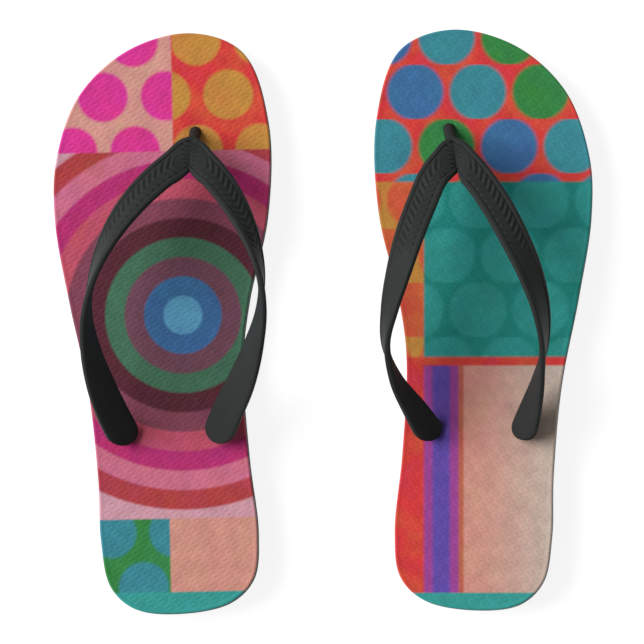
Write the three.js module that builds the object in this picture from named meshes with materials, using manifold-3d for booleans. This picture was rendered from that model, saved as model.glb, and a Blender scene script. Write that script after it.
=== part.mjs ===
// A pair of adult thong sandals: layered soles with a printed top sheet and moulded rubber straps.
// Millimetres, +Z up, +Y towards the toes, +X towards the wearer's right.
// The origin is on the ground, at the middle of the pair's bounding box.
//
// Each sandal is drawn once, as a right one, with its heel on the Y axis. The left one is its mirror image.
// The sole's layers are parted at the ball of the foot, where the sole bends.

import * as THREE from 'three';
import { mergeVertices } from 'three/addons/utils/BufferGeometryUtils.js';
import Module from 'manifold-3d';

const wasm = await Module();
wasm.setup();

// ---------- driving dimensions ----------

const LENGTH = 268.5;
const TOE_HEIGHT = 15; // footbed above the ground at the toe end
const HEEL_HEIGHT = 17.5; // and at the heel end
const OUTSOLE = 3.5;
const TOP_SHEET = 2;
const GAP = 0.3; // between pieces that touch
const BALL_LINE = 175; // the bend, from the heel end
const OUTLINE_STEPS = 96;

const GROOVE = {
  first: 9, // the first one, from the heel end
  pitch: 9,
  width: 1.6,
  depth: 1.2,
  zig: 20,
  rise: 4,
  reach: 60, // half its length, past the widest part of the sole
  bendClearance: 2, // no groove comes closer than this to the bend
};

// The holes that the strap is plugged into: the radii of its stem and of the flange below the midsole, and
// how far the stem's solid goes on above the footbed, inside the strap.
const TOE_HOLE = { x: -13.4, y: 222.5, stem: 2.7, flange: 7.5, rise: 1.5 };
const LATERAL_HOLE = { x: 22.2, y: 84, stem: 3.8, flange: 8.5, rise: 5 };
const MEDIAL_HOLE = { x: -22.2, y: 84, stem: 3.8, flange: 8.5, rise: 5 };
const HOLES = [TOE_HOLE, LATERAL_HOLE, MEDIAL_HOLE];
const FLANGE = { thickness: 2.4, chamfer: 0.6, clearance: 0.6 };
const ROUND_STEPS = 20;

const POST = {
  footRise: 0.4, // its foot stands just off the footbed
  headOffset: 2.4, // its head is in front of the middle of the V
  sag: 1.6,
  flare: 2, // radius gained towards the head
  headTilt: -12, // degrees
  steps: 6,
};

const BAND = {
  apex: 18, // width over the toe post, where the arms meet
  apexReach: 16, // along an arm, until it has its own width
  middle: 15,
  tail: 17,
  thickness: 3.3,
  frontLean: 23, // degrees: 0 lies flat, 90 stands on edge, past 90 leans outwards
  tailLean: 150,
  twistHalf: 0.48, // share of the arm's length on each side of the upright spot
  tongue: 9, // length of the rounded end
};
const ARM_STEPS = 26;
const ARM_CROWDING = 1.25; // above 1 the steps crowd towards the tongue
const SECTION_STEPS = 12;

// Where each sandal stands: its heel on the ground and its turn outwards in degrees. Its strap is moulded
// like the other one but has settled a little differently: apex is the middle of the V, splay spreads the
// arms, and upright says where along each arm the band stands on edge.
const LEFT = {
  side: 'left',
  heel: [-67.9, -136.2],
  turn: 1.2,
  apex: [-11.6, 211],
  splay: 0.9,
  upright: { lateral: 0.5, medial: 0.45 },
};
const RIGHT = {
  side: 'right',
  heel: [71.7, -134.6],
  turn: 0,
  apex: [-10.2, 209.6],
  splay: -1.4,
  upright: { lateral: 0.68, medial: 0.66 },
};

// Sole outline, counter-clockwise from the heel end: the lateral edge up to the toes, the medial edge back.
const OUTLINE = [
  [0, 0], [19.5, 2.8], [30, 13], [34, 34], [34.7, 62], [38.5, 104], [46.5, 145], [52.3, 182],
  [51.4, 210], [40.5, 240], [17, 261.2], [-13, LENGTH], [-36.2, 259], [-47, 227], [-46, 184],
  [-36.6, 144], [-33, 116], [-35, 72], [-38.5, 36], [-36, 15.5], [-25, 4.6],
];

// Centre lines of the strap's arms, from beside the toe post to the tongue on the footbed.
// The last number is the height above the footbed.
const APEX_HEIGHT = 21;
const LATERAL_ARM = {
  name: 'lateral',
  outwards: 1,
  frontSplay: 4,
  rearSplay: 1.4,
  points: [
    [2, 200, 28], [13.9, 186, 35], [23.5, 170, 40.5], [30.2, 154, 42.5], [33.8, 138, 40.5],
    [33.6, 122, 34], [30.2, 106, 24], [25.6, 92, 13], [20, 78.8, 3.2],
  ],
};
const MEDIAL_ARM = {
  name: 'medial',
  outwards: -1,
  frontSplay: -4,
  rearSplay: 1.6,
  points: [
    [-21.6, 200.5, 28], [-30, 186, 35], [-36.6, 170, 41], [-40.7, 154, 43], [-42.1, 138, 41],
    [-40.4, 122, 34.5], [-34.8, 106, 24], [-27, 92, 13], [-20, 78.8, 3.2],
  ],
};
const APEX_HEADING = 97; // degrees, the direction from the notch of the V to its front

// ---------- materials ----------

const printed = new THREE.MeshStandardMaterial({ color: 0xd4565f, roughness: 0.75, metalness: 0 });
const foam = new THREE.MeshStandardMaterial({ color: 0x26272a, roughness: 0.85, metalness: 0 });
const tread = new THREE.MeshStandardMaterial({ color: 0x1b1c1e, roughness: 0.8, metalness: 0 });
const rubber = new THREE.MeshStandardMaterial({ color: 0x2c2f2f, roughness: 0.5, metalness: 0 });

// ---------- helpers ----------

const radians = THREE.MathUtils.degToRad;
const { lerp, smoothstep } = THREE.MathUtils;

function footbedAt(y) {
  return lerp(HEEL_HEIGHT, TOE_HEIGHT, y / LENGTH);
}

function isInHalf(y, inFront) {
  return inFront ? y > BALL_LINE : y < BALL_LINE;
}

function solid(geometry) {
  const bare = geometry.clone();
  bare.deleteAttribute('normal');
  bare.deleteAttribute('uv');
  const merged = mergeVertices(bare, 1e-4);
  return new wasm.Manifold(new wasm.Mesh({
    numProp: 3,
    vertProperties: new Float32Array(merged.attributes.position.array),
    triVerts: new Uint32Array(merged.index.array),
  }));
}

function geometryOf(manifold) {
  const mesh = manifold.getMesh();
  const geometry = new THREE.BufferGeometry();
  geometry.setAttribute('position', new THREE.BufferAttribute(mesh.vertProperties, 3));
  geometry.setIndex(new THREE.BufferAttribute(mesh.triVerts, 1));
  return geometry;
}

function mirrored(geometry) {
  const flipped = geometry.index ? geometry.clone() : mergeVertices(geometry);
  flipped.scale(-1, 1, 1);
  const corners = flipped.index.array;
  for (let i = 0; i < corners.length; i += 3) {
    [corners[i], corners[i + 1]] = [corners[i + 1], corners[i]];
  }
  return flipped;
}

// A closed skin over rings of points that all have the same count, capped at both ends.
function loft(rings) {
  const count = rings[0].length;
  const middles = [rings[0], rings.at(-1)].map((ring) =>
    ring.reduce((sum, p) => sum.add(p), new THREE.Vector3()).divideScalar(count));
  const positions = [...rings.flat(), ...middles].flatMap((p) => p.toArray());
  const last = (rings.length - 1) * count;
  const [startCap, endCap] = [rings.length * count, rings.length * count + 1];
  const faces = [];
  for (let j = 0; j < count; j += 1) {
    const k = (j + 1) % count;
    for (let i = 0; i < last; i += count) {
      faces.push(i + j, i + k, i + count + j, i + k, i + count + k, i + count + j);
    }
    faces.push(startCap, k, j, endCap, last + j, last + k);
  }
  const geometry = new THREE.BufferGeometry();
  geometry.setAttribute('position', new THREE.Float32BufferAttribute(positions, 3));
  geometry.setIndex(faces);
  return geometry;
}

// ---------- sole ----------

function solePoints() {
  const corners = OUTLINE.map(([x, y]) => new THREE.Vector3(x, y, 0));
  const curve = new THREE.CatmullRomCurve3(corners, true, 'centripetal');
  return curve.getSpacedPoints(OUTLINE_STEPS).slice(0, -1);
}

// The part of a closed outline in front of the line y = edge, or behind it.
function clipped(points, edge, inFront) {
  const keeps = (p) => (inFront ? p.y > edge : p.y < edge);
  return points.flatMap((p, i) => {
    const next = points[(i + 1) % points.length];
    const kept = keeps(p) ? [p] : [];
    if (keeps(p) !== keeps(next)) {
      kept.push(p.clone().lerp(next, (edge - p.y) / (next.y - p.y)));
    }
    return kept;
  });
}

// One layer of one half of the sole. A number or a function of y gives each face's height.
function layer(inFront, radiusOf, bottomAt, topAt) {
  const edge = BALL_LINE + (inFront ? GAP / 2 : -GAP / 2);
  const shape = new THREE.Shape(clipped(solePoints(), edge, inFront));
  for (const hole of HOLES) {
    if (isInHalf(hole.y, inFront)) {
      shape.holes.push(new THREE.Path().absarc(hole.x, hole.y, radiusOf(hole), 0, 2 * Math.PI, true));
    }
  }
  const geometry = new THREE.ExtrudeGeometry(shape, {
    depth: 1,
    bevelEnabled: false,
    curveSegments: ROUND_STEPS,
  });
  const position = geometry.attributes.position;
  for (let i = 0; i < position.count; i += 1) {
    const y = position.getY(i);
    position.setZ(i, position.getZ(i) > 0.5 ? topAt(y) : bottomAt(y));
  }
  return geometry;
}

const stemHole = (hole) => hole.stem + GAP;
const plugRecess = (hole) => hole.flange + FLANGE.clearance;

function topSheet(inFront) {
  return layer(inFront, stemHole, (y) => footbedAt(y) - TOP_SHEET, footbedAt);
}

function midsole(inFront) {
  return layer(inFront, stemHole, () => OUTSOLE + GAP, (y) => footbedAt(y) - TOP_SHEET - GAP);
}

// A zigzag bar as wide as the sole, which cuts one tread groove.
function grooveCutter(y) {
  const ridge = [];
  for (let i = 0; i * GROOVE.zig <= 2 * GROOVE.reach; i += 1) {
    ridge.push(new THREE.Vector2(i * GROOVE.zig - GROOVE.reach, y + (i % 2 ? GROOVE.rise : 0)));
  }
  const back = ridge.map((p) => new THREE.Vector2(p.x, p.y + GROOVE.width)).reverse();
  const bar = new THREE.ExtrudeGeometry(new THREE.Shape([...ridge, ...back]), {
    depth: 2 * GROOVE.depth,
    bevelEnabled: false,
  });
  return bar.translate(0, 0, -GROOVE.depth);
}

function outsole(inFront) {
  let body = solid(layer(inFront, plugRecess, () => 0, () => OUTSOLE));
  for (let y = GROOVE.first; y < LENGTH; y += GROOVE.pitch) {
    const farEdge = y + GROOVE.rise + GROOVE.width;
    const clearOfBend = y > BALL_LINE + GROOVE.bendClearance || farEdge < BALL_LINE - GROOVE.bendClearance;
    if (isInHalf(y, inFront) && clearOfBend) {
      body = body.subtract(solid(grooveCutter(y)));
    }
  }
  return geometryOf(body);
}

// ---------- strap ----------

function bandWidth(share, length) {
  const meeting = 1 - smoothstep(share * length, 0, BAND.apexReach);
  const widening = smoothstep(share, 0.5, 0.85);
  return BAND.middle + (BAND.apex - BAND.middle) * meeting + (BAND.tail - BAND.middle) * widening;
}

function bandLean(share, upright) {
  const turned = smoothstep(share, upright - BAND.twistHalf, upright + BAND.twistHalf);
  return radians(lerp(BAND.frontLean, BAND.tailLean, turned));
}

// A smooth hump that rises from 0 at start to 1 halfway and falls back to 0 at end.
function hump(share, start, end) {
  return Math.sin(Math.PI * THREE.MathUtils.clamp((share - start) / (end - start), 0, 1));
}

function armCurve(arm, { apex, splay }) {
  const points = [[...apex, APEX_HEIGHT], ...arm.points];
  const placed = points.map(([x, y, height], i) => {
    const share = i / (points.length - 1);
    const spread = arm.frontSplay * hump(share, 0, 0.7) + arm.rearSplay * hump(share, 0.5, 1);
    return new THREE.Vector3(x + splay * spread, y, footbedAt(y) + height);
  });
  return new THREE.CatmullRomCurve3(placed, false, 'centripetal');
}

// A band section: a flattened round-cornered loop spanned by the band's width and thickness directions.
function section(centre, across, through, width, thickness) {
  const ring = [];
  for (let i = 0; i < SECTION_STEPS; i += 1) {
    const angle = (2 * Math.PI * i) / SECTION_STEPS;
    const squared = (v) => Math.sign(v) * Math.sqrt(Math.abs(v));
    ring.push(centre.clone()
      .addScaledVector(across, 0.5 * width * squared(Math.cos(angle)))
      .addScaledVector(through, 0.5 * thickness * squared(Math.sin(angle))));
  }
  return ring;
}

// One arm: its band lies flat over the toes, twists upright at the side and leans out at the tongue.
function strapArm(arm, sandal) {
  const curve = armCurve(arm, sandal);
  const length = curve.getLength();
  const rings = [];
  for (let i = 0; i <= ARM_STEPS; i += 1) {
    const toEnd = 1 - i / ARM_STEPS;
    const share = 1 - toEnd ** ARM_CROWDING;
    const tangent = curve.getTangentAt(share);
    const side = new THREE.Vector3(-tangent.y, tangent.x, 0).multiplyScalar(arm.outwards).normalize();
    const apex = new THREE.Vector3(Math.cos(radians(APEX_HEADING)), Math.sin(radians(APEX_HEADING)), 0);
    side.lerpVectors(apex, side, smoothstep(share * length, 0, BAND.apexReach)).normalize();
    const lean = bandLean(share, sandal.upright[arm.name]);
    const across = side.multiplyScalar(Math.cos(lean));
    across.z = -Math.sin(lean);
    const through = tangent.clone().cross(across).normalize();
    const fromEnd = Math.min(1, ((1 - share) * length) / BAND.tongue);
    const rounding = Math.sqrt(1 - (1 - fromEnd) ** 2);
    const width = bandWidth(share, length) * Math.max(rounding, 0.25);
    rings.push(section(curve.getPointAt(share), across, through, width, BAND.thickness));
  }
  return loft(rings);
}

function circle(centre, radius, tilt = 0) {
  const ring = [];
  for (let i = 0; i < ROUND_STEPS; i += 1) {
    const angle = (2 * Math.PI * i) / ROUND_STEPS;
    const forward = radius * Math.sin(angle);
    ring.push(new THREE.Vector3(
      centre.x + radius * Math.cos(angle),
      centre.y + forward,
      centre.z + forward * Math.tan(tilt),
    ));
  }
  return ring;
}

// A plug: a flange under the midsole and the stem that goes up through the sole.
function plug(hole) {
  const flangeBottom = OUTSOLE - FLANGE.thickness;
  const profile = [
    [hole.flange - FLANGE.chamfer, flangeBottom],
    [hole.flange, flangeBottom + FLANGE.chamfer],
    [hole.flange, OUTSOLE],
    [hole.stem, OUTSOLE],
    [hole.stem, footbedAt(hole.y) + hole.rise],
  ];
  return loft(profile.map(([radius, z]) => circle(new THREE.Vector3(hole.x, hole.y, z), radius)));
}

// The leaning post between the toes, which widens into the underside of the V.
function toePost([apexX, apexY]) {
  const foot = new THREE.Vector3(TOE_HOLE.x, TOE_HOLE.y, footbedAt(TOE_HOLE.y) + POST.footRise);
  const head = new THREE.Vector3(apexX, apexY + POST.headOffset, footbedAt(apexY) + APEX_HEIGHT);
  const rings = [];
  for (let i = 0; i <= POST.steps; i += 1) {
    const share = i / POST.steps;
    const centre = foot.clone().lerp(head, share);
    centre.y -= POST.sag * Math.sin(Math.PI * share);
    const radius = TOE_HOLE.stem + POST.flare * smoothstep(share, 0.45, 1);
    rings.push(circle(centre, radius, radians(POST.headTilt) * smoothstep(share, 0, 1)));
  }
  return loft(rings);
}

function strap(sandal) {
  const pieces = [
    strapArm(LATERAL_ARM, sandal),
    strapArm(MEDIAL_ARM, sandal),
    toePost(sandal.apex),
    ...HOLES.map(plug),
  ];
  return geometryOf(pieces.map(solid).reduce((whole, piece) => whole.add(piece)));
}

// ---------- assembly ----------

function sandalGroup(sandal) {
  const group = new THREE.Group();
  const isLeft = sandal.side === 'left';
  const add = (name, geometry, material) => {
    const mesh = new THREE.Mesh(isLeft ? mirrored(geometry) : geometry, material);
    mesh.name = `${sandal.side}_${name}`;
    group.add(mesh);
  };
  for (const [half, inFront] of [['fore', true], ['rear', false]]) {
    add(`top_sheet_${half}`, topSheet(inFront), printed);
    add(`midsole_${half}`, midsole(inFront), foam);
    add(`outsole_${half}`, outsole(inFront), tread);
  }
  add('strap', strap(sandal), rubber);
  group.position.set(...sandal.heel, 0);
  group.rotation.z = radians(isLeft ? sandal.turn : -sandal.turn);
  return group;
}

const pair = new THREE.Group();
pair.add(sandalGroup(LEFT), sandalGroup(RIGHT));

const middle = new THREE.Box3().setFromObject(pair, true).getCenter(new THREE.Vector3());
pair.position.set(-middle.x, -middle.y, 0);

export default pair;
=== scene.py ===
import math

import bpy
import numpy as np
from mathutils import Matrix, Vector
from mathutils.geometry import delaunay_2d_cdt
from mathutils.kdtree import KDTree

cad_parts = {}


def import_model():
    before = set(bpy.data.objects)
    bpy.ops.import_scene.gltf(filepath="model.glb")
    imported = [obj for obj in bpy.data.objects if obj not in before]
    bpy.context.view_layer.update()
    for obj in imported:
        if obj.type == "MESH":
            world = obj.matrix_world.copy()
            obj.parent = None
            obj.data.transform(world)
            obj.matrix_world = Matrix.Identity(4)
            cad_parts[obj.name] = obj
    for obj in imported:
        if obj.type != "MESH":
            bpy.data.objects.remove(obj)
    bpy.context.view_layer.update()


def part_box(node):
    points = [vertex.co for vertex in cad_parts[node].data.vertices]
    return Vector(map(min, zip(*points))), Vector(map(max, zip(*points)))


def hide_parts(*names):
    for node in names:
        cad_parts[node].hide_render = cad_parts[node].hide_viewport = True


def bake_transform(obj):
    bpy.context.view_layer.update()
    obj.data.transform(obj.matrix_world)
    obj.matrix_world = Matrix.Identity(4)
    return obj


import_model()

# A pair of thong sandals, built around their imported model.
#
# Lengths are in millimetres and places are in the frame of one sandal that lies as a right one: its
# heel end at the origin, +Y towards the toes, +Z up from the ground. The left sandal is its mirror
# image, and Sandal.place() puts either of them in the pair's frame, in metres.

MM = 0.001

# ---------- driving dimensions ----------

LENGTH = 268.5
TOE_HEIGHT = 15.0  # footbed above the ground at the toe end
HEEL_HEIGHT = 17.5  # and at the heel end
OUTSOLE = 3.5
TOP_SHEET = 2.0
SEAM = 0.15  # half the gap between the midsole and the outsole
SHEET_BOTTOM = TOP_SHEET + SEAM  # below the footbed: the top sheet rests on the midsole
TUCK = 0.5  # how far a layer's edges are drawn in at a seam
SIDE_BULGE = 0.3  # of the midsole
BALL_LINE = 175.0  # across the ball; the tread's rows are closer round it, and no groove comes near it
BEND_END = 205.0  # a line across the sole, behind the toe post

# Closed outline of the sole, counter-clockwise from the heel end.
OUTLINE = [
    (0, 0), (19.5, 2.8), (30, 13), (34, 34), (34.7, 62), (38.5, 104), (46.5, 145), (52.3, 182),
    (51.4, 210), (40.5, 240), (17, 261.2), (-13, LENGTH), (-36.2, 259), (-47, 227), (-46, 184),
    (-36.6, 144), (-33, 116), (-35, 72), (-38.5, 36), (-36, 15.5), (-25, 4.6),
]
OUTLINE_STEPS = 900

TOE_HOLE = {"at": (-13.4, 222.5), "stem": 2.7, "flange": 7.5}
REAR_HOLES = [{"at": (x, 84.0), "stem": 3.8, "flange": 8.5} for x in (22.2, -22.2)]
HOLES = [TOE_HOLE, *REAR_HOLES]
HOLE_STEPS = 48
DIMPLE = {"depth": 0.5, "radius": 2.0, "reach": 1.6}  # of the footbed, round the toe post

FOOTBED_RIM = 0.8  # radius of the footbed's edge
SHEET_STEP = 0.56  # between the footbed's points
COARSE_STEP = 4.0  # between the points of a plain face
ROW_RISE = 0.87  # from one staggered row to the next, for a pitch of 1

# The footbed's grains lie where the crests of two waves (pitch, direction) cross. Each is an oval
# mound, and border is the outer share of it that slopes down. A slit runs along its middle.
GRAIN_WAVES = ((4.2, math.radians(30)), (4.2, math.radians(-46)))
GRAIN = {"height": 0.17, "half_length": 2.25, "half_width": 1.75, "border": 0.45}
SLIT = {"depth": 0.3, "reach": 1.4, "width": 0.46}
GRAIN_SLANT = math.radians(-20)  # the grains are long this way, and so are their slits

GROOVE = {
    "first": 9.0, "pitch": 9.0, "width": 1.6, "depth": 1.2, "side": 0.35, "zig": 20.0, "rise": 4.0,
}
GROOVE_STEP = 2.0  # between the points of a row along a groove
BEND_CLEARANCE = 2.0  # no groove comes closer than this to the ball line
# The outsole's side: how far in and how far down its top edge is eased, the height up to which it
# is upright, and its chamfer.
TREAD_EDGE = {"shoulder": 0.1, "drop": 0.3, "middle": 2.4, "chamfer": 0.6}

# The strap's band: its width at the V, in the middle and at the tail, with the shares of an arm over
# which it widens to the tail, and how far it leans over. It twists from one lean to the other over
# twice twist_half of an arm. In the round tongue at its end the width falls to the least share of
# itself, and the thickness to that share to the power of thinning.
BAND = {
    "apex": 18.0, "apex_reach": 16.0, "middle": 15.0, "tail": 17.0, "widens": (0.5, 0.85),
    "thickness": 3.3, "front_lean": 23.0, "tail_lean": 150.0, "twist_half": 0.48,
    "tongue": 9.0, "tongue_steps": 26, "least": 0.12, "thinning": 0.35,
}
ARM_STEP = 0.42  # between two sections of the band
SECTION_STEPS = {"outer": 52, "inner": 18, "corner": 7}  # points over each face, round a corner
APEX_HEIGHT = 21.0

# Relief of the band's outer face. A slanted comb marks the keel of the V, chevron ribs run down each
# arm, and a flat rim is parted from them by a groove. Pairs are where a change starts and ends, as
# distances from the band's edge or, in the rim and the ribs, from the rim's inner side.
KEEL = {
    "reach": 2.5, "pitch": 2.2, "slant": 0.67, "depth": 0.45, "end": 5.0, "fade": 1.5, "edge": (1.5, 3),
}
RIBS = {
    "pitch": 3.7, "slant": 0.84, "depth": 0.55, "lift": 0.4, "squareness": 2,
    "start": 10.0, "end": 58.0, "fade": 5.0, "edge": (0.6, 1.3),
}
RIM = {"width": 2.5, "drop": 0.4, "edge": (-0.25, 0.45), "groove": 0.3, "at": 0.1, "half": 0.35}
SHOULDER = {"swell": 1.5, "at": 5.0, "reach": 4.0}  # of the V's front edge, beside the keel

POST = {"sag": 1.6, "flare": 2.0, "head_slope": -0.35, "head_ahead": 2.4, "head_drop": 0.4}
NECK = {"rise": 6.6, "flare": 2.0, "slope": np.array([0.8, 0.41])}  # of a rear plug
FLANGE = {
    "bottom": OUTSOLE - 2.4, "chamfer": 0.6, "clearance": 0.6,
    "dimple": ((1.0, 0.7), (2.0, 0.6), (3.0, 0.1), (3.6, 0.0)),  # radius, and height above its face
}

# Centre lines of the strap's arms behind the apex; the third number is the height above the footbed.
LATERAL_ARM = {
    "name": "lateral", "outwards": 1, "front_splay": 4.0, "rear_splay": 1.4,
    "points": [
        (2, 200, 28), (13.9, 186, 35), (23.5, 170, 40.5), (30.2, 154, 42.5), (33.8, 138, 40.5),
        (33.6, 122, 34), (30.2, 106, 24), (25.6, 92, 13), (20, 78.8, 3.2),
    ],
}
MEDIAL_ARM = {
    "name": "medial", "outwards": -1, "front_splay": -4.0, "rear_splay": 1.6,
    "points": [
        (-21.6, 200.5, 28), (-30, 186, 35), (-36.6, 170, 41), (-40.7, 154, 43), (-42.1, 138, 41),
        (-40.4, 122, 34.5), (-34.8, 106, 24), (-27, 92, 13), (-20, 78.8, 3.2),
    ],
}
FRONT_SPLAY, REAR_SPLAY = (0, 0.7), (0.5, 1)  # shares of an arm over which each splay acts
STRAP_BEND = (100.0, 208.0)  # two places along the sandal; the strap is not bent at them

# Each sandal: its heel end in the pair, how far it is turned outwards, the place and heading of its
# strap's V, how far the arms splay, and the share of each arm at which the band stands upright.
LEFT = {
    "side": "left", "heel": (-67.9, -136.2), "turn": 1.2,
    "apex": (-11.9, 211.5), "heading": 93.0, "splay": 0.9, "upright": {"lateral": 0.5, "medial": 0.45},
}
RIGHT = {
    "side": "right", "heel": (71.7, -134.6), "turn": 0.0,
    "apex": (-10.0, 209.6), "heading": 98.0, "splay": -1.4, "upright": {"lateral": 0.68, "medial": 0.66},
}


# ---------- curves ----------

def smoothstep(value, low, high):
    """0 up to low, 1 from high, and a soft change between."""
    share = np.clip((value - low) / (high - low), 0, 1)
    return share * share * (3 - 2 * share)


def lerp(a, b, share):
    return a + (b - a) * share


def unit(vectors):
    return vectors / np.linalg.norm(vectors, axis=-1, keepdims=True)


def footbed(y):
    """Height of the footbed above the ground."""
    return lerp(HEEL_HEIGHT, TOE_HEIGHT, y / LENGTH)


class Curve:
    """A centripetal Catmull-Rom curve through points, read at a share of its length."""

    STEPS = 80  # between two points

    def __init__(self, points, closed=False):
        points = np.array(points, float)
        if closed:
            before, after = points[-1:], points[:2]
        else:
            before, after = 2 * points[:1] - points[1:2], 2 * points[-1:] - points[-2:-1]
        control = np.concatenate([before, points, after])
        spans = [self.span(*control[i:i + 4]) for i in range(len(control) - 3)]
        self.line = np.concatenate([*spans, control[-2:-1]])
        steps = np.linalg.norm(np.diff(self.line, axis=0), axis=1)
        travelled = np.concatenate([[0], np.cumsum(steps)])
        self.length = travelled[-1]
        self.shares = travelled / self.length

    def span(self, p0, p1, p2, p3):
        d0, d1, d2 = (np.linalg.norm(b - a) ** 0.5 for a, b in ((p0, p1), (p1, p2), (p2, p3)))
        t1 = ((p1 - p0) / d0 - (p2 - p0) / (d0 + d1) + (p2 - p1) / d1) * d1
        t2 = ((p2 - p1) / d1 - (p3 - p1) / (d1 + d2) + (p3 - p2) / d2) * d1
        w = np.linspace(0, 1, self.STEPS, endpoint=False)[:, None]
        return p1 + t1 * w + (3 * (p2 - p1) - 2 * t1 - t2) * w**2 + (2 * (p1 - p2) + t1 + t2) * w**3

    def at(self, shares):
        return np.stack([np.interp(shares, self.shares, column) for column in self.line.T], -1)

    def heading(self, shares, reach=0.002):
        ahead, behind = np.minimum(shares + reach, 1), np.maximum(shares - reach, 0)
        return unit(self.at(ahead) - self.at(behind))


# ---------- placing ----------

SOLE = Curve(OUTLINE, closed=True)


def pair_shift():
    """How far the pair is moved so that its middle is the origin, read from the right sole."""
    low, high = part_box("right_midsole_rear")[0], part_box("right_midsole_fore")[1]
    return (
        high.x / MM - RIGHT["heel"][0] - SOLE.line[:, 0].max(),
        low.y / MM - RIGHT["heel"][1] - SOLE.line[:, 1].min(),
    )


PAIR_SHIFT = pair_shift()


class Sandal:
    """Where one sandal of the pair stands, and how its strap has settled."""

    def __init__(self, side, heel, turn, apex, heading, splay, upright):
        self.side, self.apex, self.splay, self.upright = side, apex, splay, upright
        self.heading = math.radians(heading)
        self.sign = -1 if side == "left" else 1
        self.angle = math.radians(-self.sign * turn)
        self.heel = np.array(heel) + PAIR_SHIFT

    def seen(self, points):
        """Points as this sandal has them: a left one is mirrored."""
        return points * np.array([self.sign, 1, 1])

    def place(self, points):
        x, y, z = self.seen(points).T
        c, s = math.cos(self.angle), math.sin(self.angle)
        return np.stack([c * x - s * y + self.heel[0], s * x + c * y + self.heel[1], z], 1) * MM

    def point(self, x, y, z):
        return Vector(self.place(np.array([[x, y, z]], float))[0])


# ---------- meshes ----------

def mesh_object(name, points, faces):
    mesh = bpy.data.meshes.new(name)
    mesh.from_pydata(points.tolist(), [], faces)
    mesh.validate()
    made = bpy.data.objects.new(name, mesh)
    bpy.context.scene.collection.objects.link(made)
    return made


def finished(sandal, name, points, faces, material, crease=40):
    """A piece in the pair's frame. Its material reads its places on the sandal, in millimetres."""
    if sandal.sign < 0:
        faces = [face[::-1] for face in faces]
    made = mesh_object(f"{sandal.side}_{name}", sandal.place(points), faces)
    places = made.data.attributes.new("sandal_mm", "FLOAT_VECTOR", "POINT")
    places.data.foreach_set("vector", sandal.seen(points).astype(np.float32).ravel())
    made.data.shade_smooth()
    made.data.set_sharp_from_angle(angle=math.radians(crease))
    made.data.materials.append(material)
    return made


def ring_quads(upper, lower):
    """Faces between two rings of indices; upper runs counter-clockwise seen from outside and above."""
    return [(lower[i - 1], lower[i], upper[i], upper[i - 1]) for i in range(len(upper))]


def circle(centre, radius, steps=HOLE_STEPS):
    angles = np.linspace(0, 2 * math.pi, steps, endpoint=False)
    return np.stack([centre[0] + radius * np.cos(angles), centre[1] + radius * np.sin(angles)], 1)


class Outline:
    """The sole's edge as a ring of points that can be drawn in by any distance."""

    def __init__(self, steps=OUTLINE_STEPS):
        shares = np.arange(steps) / steps
        self.points = SOLE.at(shares)
        ahead, behind = np.roll(self.points, -1, axis=0), np.roll(self.points, 1, axis=0)
        along = unit(ahead - behind)
        self.inward = np.stack([-along[:, 1], along[:, 0]], 1)
        self.tree = KDTree(steps)
        for i, (x, y) in enumerate(self.points):
            self.tree.insert((x, y, 0), i)
        self.tree.balance()

    def inset(self, distance):
        return self.points + self.inward * distance

    def depth(self, points):
        """How far inside the edge each point is."""
        nearest = [self.tree.find((x, y, 0))[1] for x, y in points]
        return ((points - self.points[nearest]) * self.inward[nearest]).sum(axis=1)


EDGE = Outline()


def lattice(step, rows=None):
    """Points in rows over the sole: staggered rows, or rows that zigzag as the grooves do and are
    at the given places along the sandal where x is 0."""
    low, high = SOLE.line.min(axis=0), SOLE.line.max(axis=0)
    x = np.arange(low[0], high[0], step)
    if rows is None:
        y = np.arange(low[1], high[1], step * ROW_RISE)
        gx, gy = np.meshgrid(x, y)
        gx[1::2] += step / 2
        return np.stack([gx.ravel(), gy.ravel()], 1)
    gx, gy = np.meshgrid(x, rows)
    return np.stack([gx.ravel(), (gy + zigzag(gx)).ravel()], 1)


def cap(border, holes, fill, margin):
    """Triangles inside a border ring and outside the holes, through those fill points that keep
    clear of both."""
    inside = EDGE.depth(fill) > margin
    for hole, radius in holes:
        inside &= np.linalg.norm(fill - hole["at"], axis=1) > radius + margin / 2
    rings = [border] + [circle(hole["at"], radius) for hole, radius in holes]
    edges, start = [], 0
    for ring in rings:
        edges += [(start + i, start + (i + 1) % len(ring)) for i in range(len(ring))]
        start += len(ring)
    points = np.concatenate([*rings, fill[inside]])
    flat = [Vector(p) for p in points.tolist()]
    _, _, faces, sources, _, _ = delaunay_2d_cdt(flat, edges, [], 1, 1e-6)
    faces = np.array([[sources[i][0] for i in face] for face in faces])
    middles = points[faces].mean(axis=1)
    kept = np.ones(len(faces), bool)
    for hole, radius in holes:
        kept &= np.linalg.norm(middles - hole["at"], axis=1) > radius * 0.995
    return points, faces[kept]


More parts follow.
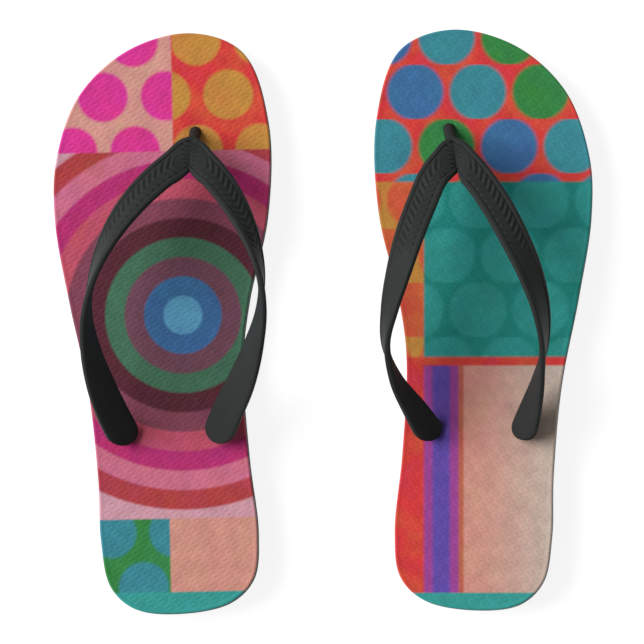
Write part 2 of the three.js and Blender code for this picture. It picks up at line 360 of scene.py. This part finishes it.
def slab(wall, holes, top, bottom, top_fill, bottom_fill, margin):
    """A closed layer of the sole. wall lists (inset, height function) from its top edge down to its
    bottom edge, and holes lists (hole, radius). Height functions take points and how far inside the
    sole's edge they are. No fill point comes closer to the wall than margin."""
    points, faces, rings = [], [], []

    def add(flat, heights):
        start = sum(len(p) for p in points)
        points.append(np.column_stack([flat, heights]))
        return np.arange(start, start + len(flat))

    count = len(EDGE.points)
    for edge, fill, height in ((wall[0], top_fill, top), (wall[-1], bottom_fill, bottom)):
        border = EDGE.inset(edge[0])
        flat, triangles = cap(border, holes, fill, margin)
        depth = EDGE.depth(flat)
        heights = height(flat, depth)
        heights[:count] = edge[1](border, edge[0])
        index = add(flat, heights)
        facing = triangles if height is top else triangles[:, ::-1]
        faces += index[facing].tolist()
        rings.append(index)
    upper = rings[0][:count]
    for inset, height in wall[1:-1]:
        ring = EDGE.inset(inset)
        lower = add(ring, height(ring, inset))
        faces += ring_quads(upper, lower)
        upper = lower
    faces += ring_quads(upper, rings[1][:count])
    for i in range(len(holes)):
        span = slice(count + i * HOLE_STEPS, count + (i + 1) * HOLE_STEPS)
        faces += ring_quads(rings[1][span], rings[0][span])
    return np.concatenate(points), [tuple(map(int, face)) for face in faces]


# ---------- sole ----------

def grains(x, y):
    """Height of the pressed grains, never above the footbed: oval mounds, each with a slit."""
    waves = np.array([(math.cos(angle), math.sin(angle)) for _, angle in GRAIN_WAVES])
    waves = waves / np.array([[pitch] for pitch, _ in GRAIN_WAVES])
    phases = np.stack([x, y], 1) @ waves.T
    off_x, off_y = ((phases - np.round(phases)) @ np.linalg.inv(waves.T)).T
    c, s = math.cos(GRAIN_SLANT), math.sin(GRAIN_SLANT)
    along, over = c * off_x + s * off_y, c * off_y - s * off_x
    out = np.hypot(along / GRAIN["half_length"], over / GRAIN["half_width"])
    mound = 1 - smoothstep(out, 1 - GRAIN["border"], 1)
    slit = np.exp(-((along / SLIT["reach"]) ** 4) - (over / SLIT["width"]) ** 2)
    return GRAIN["height"] * (mound - 1) - SLIT["depth"] * slit


def embossed(points, depth):
    """Height of the footbed's face, smooth along its rim and drawn in round the toe post."""
    x, y = points.T
    off = np.linalg.norm(points - TOE_HOLE["at"], axis=1) - DIMPLE["radius"]
    dimple = DIMPLE["depth"] * np.minimum(np.exp(-off / DIMPLE["reach"]), 1)
    return footbed(y) + grains(x, y) * smoothstep(depth, FOOTBED_RIM, 3 * FOOTBED_RIM) - dimple


def level(height):
    """A height function that is the same everywhere."""
    return lambda points, depth: np.full(len(points), float(height))


def below_footbed(drop):
    """A height function that stays the same distance below the footbed."""
    return lambda points, depth: footbed(points[:, 1]) - drop


def top_sheet(sandal, material):
    rounding = [
        (FOOTBED_RIM * (1 - math.sin(a)), below_footbed(FOOTBED_RIM * (1 - math.cos(a))))
        for a in np.radians(np.linspace(0, 90, 6))
    ]
    wall = [*rounding, (0, below_footbed(TOP_SHEET - 0.2)), (TUCK / 2, below_footbed(SHEET_BOTTOM))]
    holes = [(hole, hole["stem"] - SEAM) for hole in HOLES]
    points, faces = slab(
        wall, holes, embossed, below_footbed(SHEET_BOTTOM),
        lattice(SHEET_STEP), lattice(COARSE_STEP), margin=SHEET_STEP * 0.6,
    )
    return finished(sandal, "top_sheet", points, faces, material)


def midsole(sandal, material):
    def between(share):
        """A height function, from the midsole's bottom at 0 to its top at 1."""
        return lambda points, depth: lerp(OUTSOLE + SEAM, footbed(points[:, 1]) - SHEET_BOTTOM, share)

    bulge = [
        (SIDE_BULGE * (1 - math.sin(math.pi * share)), between(share))
        for share in np.linspace(0.96, 0.04, 9)
    ]
    wall = [(TUCK, between(1.0)), *bulge, (TUCK, between(0.0))]
    holes = [(hole, hole["stem"] + 2 * SEAM) for hole in HOLES]
    fill = lattice(COARSE_STEP)
    points, faces = slab(wall, holes, between(1.0), between(0.0), fill, fill, margin=1.5)
    return finished(sandal, "midsole", points, faces, material)


def zigzag(x):
    """How far a groove has climbed at x."""
    turn = np.abs((x / GROOVE["zig"] + 1) % 2 - 1)
    return GROOVE["rise"] * (1 - turn)


def groove_starts():
    starts = np.arange(GROOVE["first"], LENGTH, GROOVE["pitch"])
    ends = starts + GROOVE["rise"] + GROOVE["width"]
    clear = (starts > BALL_LINE + BEND_CLEARANCE) | (ends < BALL_LINE - BEND_CLEARANCE)
    return starts[clear]


def tread(points, depth):
    """Height of the tread: the ground, and the floor and the sloped sides of each groove."""
    across = points[:, 1] - zigzag(points[:, 0])
    middles = groove_starts() + GROOVE["width"] / 2
    off = np.abs(across[:, None] - middles[None, :]).min(axis=1)
    floor_half = GROOVE["width"] / 2 - GROOVE["side"]
    return GROOVE["depth"] * (1 - np.clip((off - floor_half) / GROOVE["side"], 0, 1))


def tread_rows():
    """Rows of points along the corners of each groove and the land between, and closer round the ball
    line.
    """
    width, side = GROOVE["width"], GROOVE["side"]
    rows = []
    for y in groove_starts():
        rows += [y, y + side, y + width / 2, y + width - side, y + width]
        rows += [y + width + share * (GROOVE["pitch"] - width) for share in (0.25, 0.5, 0.75)]
    bend = np.arange(BALL_LINE - 12, BALL_LINE + 14, GROOVE_STEP)
    return np.unique(np.concatenate([rows, bend]).round(3))


def outsole(sandal, material):
    top = OUTSOLE - SEAM
    wall = [
        (TUCK, level(top)),
        (TREAD_EDGE["shoulder"], level(top - TREAD_EDGE["drop"])),
        (0, level(TREAD_EDGE["middle"])),
        (0, lambda points, depth: np.maximum(tread(points, depth), TREAD_EDGE["chamfer"])),
        (TUCK, tread),
    ]
    holes = [(hole, hole["flange"] + FLANGE["clearance"]) for hole in HOLES]
    points, faces = slab(
        wall, holes, level(top), tread,
        lattice(COARSE_STEP), lattice(GROOVE_STEP, tread_rows()), margin=0.5,
    )
    return finished(sandal, "outsole", points, faces, material, crease=30)


# ---------- strap ----------

def hump(share, start, end):
    """Rises from 0 at start to 1 halfway and falls back to 0 at end."""
    return np.sin(math.pi * np.clip((share - start) / (end - start), 0, 1))


def arm_curve(arm, sandal):
    """The arm's centre line, splayed as this sandal's strap is."""
    points = [(*sandal.apex, APEX_HEIGHT), *arm["points"]]
    placed = []
    for i, (x, y, height) in enumerate(points):
        share = i / (len(points) - 1)
        front = arm["front_splay"] * hump(share, *FRONT_SPLAY)
        rear = arm["rear_splay"] * hump(share, *REAR_SPLAY)
        placed.append((x + sandal.splay * (front + rear), y, footbed(y) + height))
    return Curve(placed)


def stations(length):
    """Shares of an arm's length: even steps, then closer ones round the end of the tongue."""
    tongue = BAND["tongue"]
    even = np.arange(0, length - tongue, ARM_STEP)
    angles = np.radians(np.linspace(90, 8, BAND["tongue_steps"]))
    return np.concatenate([even, length - tongue * (1 - np.cos(angles))]) / length


def arm_sections(arm, sandal):
    """Centres, directions across and through the band, widths, how full each section is (less
    than 1 in the tongue), and distances from the keel."""
    curve = arm_curve(arm, sandal)
    share = stations(curve.length)
    travelled = share * curve.length
    centre, tangent = curve.at(share), curve.heading(share)
    meeting = np.minimum(travelled / BAND["apex_reach"], 1)[:, None]
    heading = np.array([math.cos(sandal.heading), math.sin(sandal.heading)])
    side = unit(np.stack([-tangent[:, 1], tangent[:, 0]], 1)) * arm["outwards"]
    side = unit(lerp(heading, side, meeting))
    upright = sandal.upright[arm["name"]]
    twist = smoothstep(share, upright - BAND["twist_half"], upright + BAND["twist_half"])
    lean = np.radians(lerp(BAND["front_lean"], BAND["tail_lean"], twist))
    across = np.column_stack([side * np.cos(lean)[:, None], -np.sin(lean)])
    level_out = np.array([heading[1], -heading[0], 0]) * arm["outwards"]
    along = unit(lerp(level_out, tangent, smoothstep(travelled, 0, KEEL["reach"])[:, None]))
    through = unit(np.cross(along, across)) * arm["outwards"]
    width = lerp(BAND["apex"], BAND["middle"], meeting[:, 0])
    width = width + (BAND["tail"] - BAND["middle"]) * smoothstep(share, *BAND["widens"])
    from_end = np.minimum(1, (curve.length - travelled) / BAND["tongue"])
    fullness = np.sqrt(1 - (1 - from_end) ** 2)
    return centre, across, through, width, fullness, travelled * arm["outwards"]


def shoulder(travelled):
    """How far the front edge of the V swells on either side of the keel."""
    off = (np.abs(travelled) - SHOULDER["at"]) / SHOULDER["reach"]
    return SHOULDER["swell"] * np.exp(-(off**2))


def section_loop(outer_end=0.95, inner_end=0.93):
    """Unit places (across, through) round a rectangle with full corners, dense over the outer face."""
    outer = np.linspace(outer_end, -outer_end, SECTION_STEPS["outer"])
    inner = np.linspace(-inner_end, inner_end, SECTION_STEPS["inner"])

    def height(across):
        return (1 - np.abs(across) ** 4) ** 0.25

    def corner(side, first, last):
        angles = np.linspace(first, last, SECTION_STEPS["corner"])[1:-1]
        c, s = np.cos(angles), np.sin(angles)
        return np.stack([side * np.abs(c) ** 0.5, np.sign(s) * np.abs(s) ** 0.5], 1)

    upper, lower = math.acos(outer_end**2), -math.acos(inner_end**2)
    return np.concatenate([
        np.stack([outer, height(outer)], 1),
        corner(-1, upper, lower),
        np.stack([inner, -height(inner)], 1),
        corner(1, lower, upper),
    ])


def moulded(travelled, offset, half):
    """Height of the pattern on the band's outer face, travelled from the keel and offset across."""
    along, from_edge = np.abs(travelled), half - np.abs(offset)
    past_rim = from_edge - RIM["width"]
    field = smoothstep(past_rim, *RIM["edge"])
    groove = np.exp(-(((past_rim - RIM["at"]) / RIM["half"]) ** 2))

    wave = np.cos(2 * math.pi * (along + RIBS["slant"] * np.abs(offset)) / RIBS["pitch"])
    ribs = np.tanh(RIBS["squareness"] * wave) + RIBS["lift"]
    start, end, fade = RIBS["start"], RIBS["end"], RIBS["fade"]
    ribs = ribs * smoothstep(along, start - fade / 2, start + fade / 2)
    ribs = ribs * (1 - smoothstep(along, end - fade, end + fade)) * smoothstep(past_rim, *RIBS["edge"])

    comb = np.cos(2 * math.pi * (offset - KEEL["slant"] * along) / KEEL["pitch"])
    comb = comb * (1 - smoothstep(along, KEEL["end"] - KEEL["fade"], KEEL["end"]))
    comb = comb * smoothstep(from_edge, *KEEL["edge"])
    return (
        -RIM["drop"] * field
        - RIM["groove"] * groove
        + RIBS["depth"] / 2 * ribs
        + KEEL["depth"] * comb
    )


def band(sandal):
    """The V of the strap: one skin from the medial tongue over the keel to the lateral tongue."""
    medial, lateral = arm_sections(MEDIAL_ARM, sandal), arm_sections(LATERAL_ARM, sandal)
    halves = [np.concatenate([inner[:0:-1], outer]) for inner, outer in zip(medial, lateral)]
    centre, across, through, width, fullness, travelled = halves
    a, b = section_loop().T
    least = np.maximum(fullness, BAND["least"])
    half = (width * least / 2)[:, None]
    thick = (BAND["thickness"] / 2 * least ** BAND["thinning"])[:, None]
    on_face = smoothstep(b, 0.75, 0.95) * smoothstep(fullness, 0.3, 1)[:, None]
    detail = moulded(travelled[:, None], half * a, half) * on_face
    swell = shoulder(travelled)[:, None] * smoothstep(a, 0, 1)
    points = (
        centre[:, None]
        + across[:, None] * (half * a + swell)[..., None]
        + through[:, None] * (thick * b + detail)[..., None]
    )
    return lofted(points)


def lofted(rings):
    """A closed skin over an array of rings, capped at both ends."""
    count, size = rings.shape[:2]
    index = np.arange(count * size).reshape(count, size)
    faces = []
    for i in range(count - 1):
        faces += ring_quads(index[i].tolist(), index[i + 1].tolist())
    points = np.concatenate([rings.reshape(-1, 3), rings[[0, -1]].mean(axis=1)])
    first, last = count * size, count * size + 1
    for j in range(size):
        faces.append((first, int(index[0][j - 1]), int(index[0][j])))
        faces.append((last, int(index[-1][j]), int(index[-1][j - 1])))
    return points, outward(points, faces)


def outward(points, faces):
    """The same faces, turned over if the skin they close is inside out."""
    volume = 0.0
    for face in faces:
        a = points[face[0]]
        for i in range(1, len(face) - 1):
            volume += float(np.dot(a, np.cross(points[face[i]], points[face[i + 1]])))
    return faces if volume > 0 else [face[::-1] for face in faces]


def turned(profile, place_at, steps=40):
    """A skin of rings. profile lists (radius, height), and place_at(height) gives a ring's middle
    and how steeply it climbs along X and along Y."""
    rings = []
    for radius, z in profile:
        middle, slope = place_at(z)
        ring = circle((0, 0), radius, steps)
        rings.append(np.column_stack([ring + middle, z + ring @ slope]))
    return lofted(np.array(rings))


def flange_profile(hole):
    """The mushroom under the midsole, with a dimple in the middle of its face."""
    radius, bottom, chamfer = hole["flange"], FLANGE["bottom"], FLANGE["chamfer"]
    return [
        *((across, bottom + rise) for across, rise in FLANGE["dimple"]),
        (radius - chamfer, bottom), (radius - chamfer * 0.3, bottom + chamfer * 0.3),
        (radius, bottom + chamfer), (radius, OUTSOLE - 0.1), (radius - 0.1, OUTSOLE),
        (hole["stem"] + 0.2, OUTSOLE), (hole["stem"], OUTSOLE + 0.2),
    ]


def toe_post(sandal):
    """The post between the toes: up through the sole, leaning back and widening into the V."""
    foot_z = footbed(TOE_HOLE["at"][1])
    head_z = footbed(sandal.apex[1]) + APEX_HEIGHT - POST["head_drop"]
    foot, head = np.array(TOE_HOLE["at"]), np.array(sandal.apex) + (0, POST["head_ahead"])

    def place_at(z):
        share = np.clip((z - foot_z) / (head_z - foot_z), 0, 1)
        sag = (0, POST["sag"] * math.sin(math.pi * share))
        slope = (0, POST["head_slope"] * smoothstep(share, 0.4, 1))
        return lerp(foot, head, share) - sag, np.array(slope)

    leaning = [
        (TOE_HOLE["stem"] + POST["flare"] * smoothstep(share, 0.5, 1), lerp(foot_z, head_z, share))
        for share in np.linspace(0.02, 1, 26)
    ]
    return turned([*flange_profile(TOE_HOLE), (TOE_HOLE["stem"], foot_z), *leaning], place_at)


def rear_plug(hole):
    """The plug under a tongue, whose neck widens and tips over into the slope of the band."""
    middle = np.array(hole["at"])
    foot_z = footbed(middle[1])
    slope = NECK["slope"] * np.array([np.sign(middle[0]), 1])

    def place_at(z):
        return middle, slope * smoothstep(z - foot_z, 0, NECK["rise"])

    neck = [
        (hole["stem"] + NECK["flare"] * smoothstep(rise, 0.5, NECK["rise"]), foot_z + rise)
        for rise in np.linspace(0, NECK["rise"], 12)
    ]
    return turned([*flange_profile(hole), *neck], place_at)


def joined(name, skins):
    """One closed skin round several, in millimetres."""
    first, *others = [mesh_object(name, points, faces) for points, faces in skins]
    for other in others:
        cut = first.modifiers.new("join", "BOOLEAN")
        cut.operation, cut.solver, cut.object = "UNION", "MANIFOLD", other
    whole = bpy.data.meshes.new_from_object(first.evaluated_get(bpy.context.evaluated_depsgraph_get()))
    points = np.array([v.co for v in whole.vertices])
    faces = [tuple(face.vertices) for face in whole.polygons]
    for made in (first, *others):
        bpy.data.meshes.remove(made.data)
    bpy.data.meshes.remove(whole)
    return points, faces


def strap(sandal, material):
    skins = [band(sandal), toe_post(sandal), *(rear_plug(hole) for hole in REAR_HOLES)]
    points, faces = joined("strap", skins)
    return finished(sandal, "thong", points, faces, material, crease=50)


# ---------- materials ----------

def colour(red, green, blue):
    """A display colour, 0 to 255, as the linear colour that shaders take."""
    shares = [value / 255 for value in (red, green, blue)]
    linear = [s / 12.92 if s < 0.04045 else ((s + 0.055) / 1.055) ** 2.4 for s in shares]
    return (*linear, 1.0)


class Graph:
    """A material whose nodes are written as expressions."""

    def __init__(self, name, specular):
        self.material = bpy.data.materials.new(name)
        self.material.use_nodes = True
        self.nodes, self.links = self.material.node_tree.nodes, self.material.node_tree.links
        self.shader = self.nodes["Principled BSDF"]
        self.shader.inputs["Specular IOR Level"].default_value = specular
        place = self.nodes.new("ShaderNodeAttribute")
        place.attribute_name = "sandal_mm"
        self.place = place.outputs["Vector"]
        split = self.nodes.new("ShaderNodeSeparateXYZ")
        self.feed(split.inputs[0], self.place)
        self.x, self.y, self.z = split.outputs

    def feed(self, socket, value):
        """Links a socket to another node's output, or sets it to a plain value."""
        if isinstance(value, bpy.types.NodeSocket):
            self.links.new(value, socket)
        else:
            socket.default_value = value

    def math(self, operation, *values):
        node = self.nodes.new("ShaderNodeMath")
        node.operation = operation
        for socket, value in zip(node.inputs, values):
            self.feed(socket, value)
        return node.outputs[0]

    def step(self, value, edge, blur):
        """0 below the edge, 1 above it, and a soft change between."""
        node = self.nodes.new("ShaderNodeMapRange")
        node.interpolation_type = "SMOOTHSTEP"
        for name, entry in (("Value", value), ("From Min", edge - blur), ("From Max", edge + blur)):
            self.feed(node.inputs[name], entry)
        return node.outputs["Result"]

    def mix(self, share, a, b):
        node = self.nodes.new("ShaderNodeMix")
        node.data_type = "RGBA"
        for socket, value in ((0, share), (6, a), (7, b)):
            self.feed(node.inputs[socket], value)
        return node.outputs[2]

    def bands(self, value, entries, blur, lead=20):
        """Colours side by side along value. entries lists (where a colour ends, colour), and the
        ramp starts that far before the first of them ends."""
        low, high = entries[0][0] - lead, entries[-1][0]
        node = self.nodes.new("ShaderNodeValToRGB")
        stops = [(low, entries[0][1])]
        for (edge, one), (_, other) in zip(entries, entries[1:]):
            stops += [(edge - blur, one), (edge + blur, other)]
        ramp = node.color_ramp.elements
        while len(ramp) < len(stops):
            ramp.new(1.0)
        for element, (at, shade) in zip(ramp, stops):
            element.position = (at - low) / (high - low)
            element.color = shade
        scale = self.math("MULTIPLY_ADD", value, 1 / (high - low), -low / (high - low))
        self.feed(node.inputs[0], scale)
        return node.outputs[0]

    def noise(self, scale, detail=3.0, roughness=0.5):
        """Cloudy values from 0 to 1; scale is the number of clouds in a millimetre."""
        node = self.nodes.new("ShaderNodeTexNoise")
        self.feed(node.inputs["Vector"], self.place)
        node.inputs["Scale"].default_value = scale
        node.inputs["Detail"].default_value = detail
        node.inputs["Roughness"].default_value = roughness
        return node.outputs["Fac"]

    def bump(self, height, distance_mm):
        """Shades height, from 0 to 1, as relief that many millimetres high."""
        node = self.nodes.new("ShaderNodeBump")
        node.inputs["Distance"].default_value = distance_mm * MM
        self.feed(node.inputs["Height"], height)
        self.feed(self.shader.inputs["Normal"], node.outputs[0])

    def roughen(self, low, high, scale):
        """Roughness that wanders between two values."""
        cloud = self.noise(scale)
        self.feed(self.shader.inputs["Roughness"], self.math("MULTIPLY_ADD", cloud, high - low, low))

    def varied(self, base, hue, value, scale, middle=0.94):
        """The same colour, drifting in hue and, round the middle, in brightness."""
        node = self.nodes.new("ShaderNodeHueSaturation")
        drift = self.noise(scale, 2.0)
        light = self.noise(scale * 2.3, 4.0)
        self.feed(node.inputs["Hue"], self.math("MULTIPLY_ADD", drift, 2 * hue, 0.5 - hue))
        self.feed(node.inputs["Value"], self.math("MULTIPLY_ADD", light, 2 * value, middle - value))
        self.feed(node.inputs["Color"], base)
        return node.outputs[0]


def dots(graph, pitch, radius, blur):
    """A mask of round dots in staggered rows, and a number (0, 1 or 2) that differs along a row."""
    rise = pitch * ROW_RISE
    row = graph.math("FLOOR", graph.math("DIVIDE", graph.y, rise))
    shift = graph.math("MULTIPLY", graph.math("PINGPONG", row, 1.0), pitch / 2)
    x = graph.math("DIVIDE", graph.math("ADD", graph.x, shift), pitch)
    y = graph.math("DIVIDE", graph.y, rise)
    u = graph.math("MULTIPLY_ADD", graph.math("FRACT", x), pitch, -pitch / 2)
    v = graph.math("MULTIPLY_ADD", graph.math("FRACT", y), rise, -rise / 2)
    square = graph.math("ADD", graph.math("MULTIPLY", u, u), graph.math("MULTIPLY", v, v))
    distance = graph.math("SQRT", square)
    mask = graph.math("SUBTRACT", 1.0, graph.step(distance, radius, blur))
    count = graph.math("ADD", graph.math("FLOOR", x), row)
    return mask, graph.math("FLOORED_MODULO", count, 3.0)


PEACH = colour(216, 152, 140)
MAGENTA = colour(222, 46, 146)
SCARLET = colour(216, 58, 50)
OCHRE = colour(200, 138, 56)
LEAF = colour(44, 132, 62)
SEA = colour(50, 136, 150)
BLUE = colour(54, 108, 160)
TEAL = colour(0, 132, 122)
PALE_TEAL = colour(46, 156, 150)
SALMON = colour(210, 146, 130)
PALE_PINK = colour(208, 152, 166)
BEIGE = colour(196, 182, 168)
VIOLET = colour(96, 70, 168)
PURPLE = colour(156, 62, 148)
RUST = colour(192, 98, 72)
FOAM_BLACK = colour(40, 41, 43)
INK_DEPTH = 0.62  # below the footbed: the cut edge of the top sheet is bare from here down

RINGS = {
    "centre": (6.0, 138.0),
    "step": 9.0,
    "blur": 0.55,
    "colours": [
        colour(90, 160, 198), BLUE, colour(112, 66, 84), colour(62, 112, 84), colour(84, 22, 40),
        colour(132, 62, 84), colour(196, 78, 102), colour(186, 36, 110), colour(206, 108, 136),
        colour(178, 56, 64), PALE_PINK,
    ],
}
DOTS = {"pitch": 29.0, "radius": 11.5, "blur": 1.1}
BIG_DOTS = {"pitch": DOTS["pitch"], "radius": 13.1, "blur": 1.4}

# Where the blocks of each print start, along the sandal or across it, and how soft the border is.
LEFT_BLOCKS = {
    "hem": (10.0, 0.6), "heel": (44.0, 0.6), "toe": (214.0, 0.6),
    "heel_parting": (-2.0, 0.6), "toe_parting": (3.0, 0.6),
}
RIGHT_BLOCKS = {
    "hem": (8.0, 0.6), "line": (113.0, 0.7), "panel": (117.0, 0.9), "toe": (198.0, 0.8),
    "edge": (-25.0, 0.8), "pale": (-6.0, 0.8), "fade": (18.0, 26.0),
}
STRIPES = [  # across the sandal: where each ends
    (-25.0, SCARLET), (-21.0, PURPLE), (-13.0, VIOLET), (-9.0, PURPLE), (-6.5, RUST), (60.0, PEACH),
]
STRIPE_BLUR = 0.8


def left_pattern(graph):
    """Even rings in the middle, dots over the toes and two blocks under the heel."""
    cx, cy = RINGS["centre"]
    dx, dy = graph.math("SUBTRACT", graph.x, cx), graph.math("SUBTRACT", graph.y, cy)
    square = graph.math("ADD", graph.math("MULTIPLY", dx, dx), graph.math("MULTIPLY", dy, dy))
    limits = [(RINGS["step"] * (i + 1), shade) for i, shade in enumerate(RINGS["colours"])]
    rings = graph.bands(graph.math("SQRT", square), limits, RINGS["blur"])
    mask, _ = dots(graph, **DOTS)
    inner_side = graph.step(graph.x, *LEFT_BLOCKS["toe_parting"])
    toe_ground = graph.mix(inner_side, PEACH, SCARLET)
    toe = graph.mix(mask, toe_ground, graph.mix(inner_side, MAGENTA, OCHRE))
    heel_side = graph.step(graph.x, *LEFT_BLOCKS["heel_parting"])
    heel = graph.mix(heel_side, graph.mix(mask, LEAF, SEA), SALMON)
    heel = graph.mix(graph.step(graph.y, *LEFT_BLOCKS["hem"]), PALE_TEAL, heel)
    shown = graph.mix(graph.step(graph.y, *LEFT_BLOCKS["toe"]), rings, toe)
    return graph.mix(graph.step(graph.y, *LEFT_BLOCKS["heel"]), heel, shown)


def right_pattern(graph):
    """Dots over the toes, a plain panel across the ball and upright stripes down to the heel."""
    mask, number = dots(graph, **BIG_DOTS)
    cycle = graph.bands(number, [(0.5, SEA), (1.5, LEAF), (2.5, BLUE)], 0.05)
    toe = graph.mix(mask, SCARLET, cycle)
    panel = graph.mix(graph.math("MULTIPLY", mask, 0.6), TEAL, PALE_TEAL)
    edge = graph.mix(graph.math("MULTIPLY", mask, 0.7), OCHRE, SCARLET)
    panel = graph.mix(graph.step(graph.x, *RIGHT_BLOCKS["edge"]), edge, panel)
    field = graph.mix(graph.step(graph.y, *RIGHT_BLOCKS["toe"]), panel, toe)
    pale = graph.mix(graph.step(graph.x, *RIGHT_BLOCKS["fade"]), SALMON, BEIGE)
    stripes = graph.bands(graph.x, STRIPES, STRIPE_BLUR)
    lower = graph.mix(graph.step(graph.x, *RIGHT_BLOCKS["pale"]), stripes, pale)
    lower = graph.mix(graph.step(graph.y, *RIGHT_BLOCKS["line"]), lower, SCARLET)
    lower = graph.mix(graph.step(graph.y, *RIGHT_BLOCKS["hem"]), PALE_TEAL, lower)
    return graph.mix(graph.step(graph.y, *RIGHT_BLOCKS["panel"]), lower, field)


def printed(name, pattern):
    """The embossed top sheet: ink on the face, black foam on its cut edge."""
    graph = Graph(name, specular=0.35)
    ink = graph.varied(pattern(graph), hue=0.022, value=0.22, scale=0.07)
    top = graph.math("MULTIPLY_ADD", graph.y, (TOE_HEIGHT - HEEL_HEIGHT) / LENGTH, HEEL_HEIGHT)
    drop = graph.math("SUBTRACT", top, graph.z)
    face = graph.mix(graph.step(drop, INK_DEPTH, 0.12), ink, FOAM_BLACK)
    graph.feed(graph.shader.inputs["Base Color"], face)
    graph.roughen(0.55, 0.75, 0.6)
    graph.bump(graph.noise(1.6, 4.0, 0.6), 0.06)
    return graph.material


def foam():
    """Closed-cell foam rubber with a cut, slightly pitted side."""
    graph = Graph("foam_rubber", specular=0.3)
    shade = graph.mix(graph.noise(0.35, 5.0, 0.65), colour(34, 35, 37), colour(50, 51, 53))
    graph.feed(graph.shader.inputs["Base Color"], shade)
    graph.roughen(0.75, 0.95, 0.8)
    graph.bump(graph.noise(3.2, 3.0, 0.7), 0.12)
    return graph.material


def tread_rubber():
    """Denser rubber, a little shinier than the foam."""
    graph = Graph("tread_rubber", specular=0.5)
    shade = graph.mix(graph.noise(0.2, 4.0, 0.6), colour(28, 29, 31), colour(40, 41, 43))
    graph.feed(graph.shader.inputs["Base Color"], shade)
    graph.roughen(0.5, 0.72, 0.5)
    graph.bump(graph.noise(2.0, 3.0, 0.6), 0.05)
    return graph.material


def strap_rubber():
    """Satin charcoal rubber with a very fine grain."""
    graph = Graph("strap_rubber", specular=0.05)
    shade = graph.mix(graph.noise(0.12, 4.0, 0.6), colour(41, 44, 43), colour(50, 53, 52))
    graph.feed(graph.shader.inputs["Base Color"], shade)
    graph.roughen(0.44, 0.6, 0.4)
    graph.bump(graph.noise(3.5, 2.0, 0.6), 0.03)
    return graph.material


# ---------- the pair ----------

def bend_sole(made, sandal):
    axis_height = footbed(BALL_LINE)
    sandal.point(0, BALL_LINE, axis_height)
    sandal.point(0, BEND_END, axis_height)
    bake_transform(made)


def bend_strap(made, sandal):
    start, end = STRAP_BEND
    sandal.point(0, start, footbed(start))
    sandal.point(0, end, footbed(start))
    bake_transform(made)


def build(sandal, pattern, foam_material, tread_material, strap_material):
    side = sandal.side
    sheet = top_sheet(sandal, printed(f"{side}_print", pattern))
    core = midsole(sandal, foam_material)
    under = outsole(sandal, tread_material)
    thong = strap(sandal, strap_material)
    for made, node, slot in (
        (sheet, "top_sheet", f"{side}_print"),
        (core, "midsole", "midsole"),
        (under, "outsole", "outsole"),
    ):
        bend_sole(made, sandal)
        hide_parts(f"{side}_{node}_fore", f"{side}_{node}_rear")
    bend_strap(thong, sandal)
    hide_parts(f"{side}_strap")


shared = foam(), tread_rubber(), strap_rubber()
for settings, pattern in ((LEFT, left_pattern), (RIGHT, right_pattern)):
    build(Sandal(**settings), pattern, *shared)


# ---------- floor, light and camera ----------

FLOOR_HALF = 40.0  # metres
FLOOR_DROP = 0.0002  # metres, below the tread


def floor():
    """A matt floor. Most of its brightness is its own glow, so that shadows on it stay light."""
    corners = FLOOR_HALF * np.array([(-1, -1, 0), (1, -1, 0), (1, 1, 0), (-1, 1, 0)])
    made = mesh_object("floor", corners, [(0, 1, 2, 3)])
    made.location.z = -FLOOR_DROP
    material = bpy.data.materials.new("floor")
    material.use_nodes = True
    shader = material.node_tree.nodes["Principled BSDF"]
    shader.inputs["Base Color"].default_value = (0.3, 0.3, 0.3, 1)
    shader.inputs["Roughness"].default_value = 1.0
    shader.inputs["Specular IOR Level"].default_value = 0.0
    shader.inputs["Emission Color"].default_value = (1, 1, 1, 1)
    shader.inputs["Emission Strength"].default_value = 0.86
    made.data.materials.append(material)


def sun(name, towards, strength, angle):
    """A far light. The wider its angle, in degrees, the softer its shadows."""
    light = bpy.data.lights.new(name, "SUN")
    light.energy = strength
    light.angle = math.radians(angle)
    made = bpy.data.objects.new(name, light)
    made.rotation_mode = "QUATERNION"
    made.rotation_quaternion = Vector(towards).to_track_quat("-Z", "Y")
    bpy.context.scene.collection.objects.link(made)


def world(strength):
    """Even white light from all round."""
    made = bpy.data.worlds.new("studio")
    made.use_nodes = True
    background = made.node_tree.nodes["Background"]
    background.inputs["Color"].default_value = (1, 1, 1, 1)
    background.inputs["Strength"].default_value = strength
    bpy.context.scene.world = made


def camera():
    """Nearly straight above, toes up, through a long lens, a little from the right and the heels.
    It aims at the middle of the footbeds, and width is what it sees there, in metres."""
    width, lens, tilt = 0.2977, 800.0, math.radians(2)
    aim = Vector((-0.0003, -0.0002, 0.016))
    back = Vector((math.tan(tilt), -math.tan(tilt), 1)).normalized()
    data = bpy.data.cameras.new("camera")
    data.lens = lens
    distance = width * lens / data.sensor_width
    data.clip_start, data.clip_end = distance / 20, distance * 5
    made = bpy.data.objects.new("camera", data)
    made.location = aim + back * distance
    up = Vector((0, 1, 0))
    right = up.cross(back).normalized()
    up = back.cross(right)
    made.rotation_mode = "QUATERNION"
    made.rotation_quaternion = Matrix((right, up, back)).transposed().to_quaternion()
    bpy.context.scene.collection.objects.link(made)
    bpy.context.scene.camera = made


floor()
sun("key", (0.9, -0.25, -0.75), 3.65, 48)
world(0.22)
camera()
bpy.context.scene.view_settings.view_transform = "Standard"
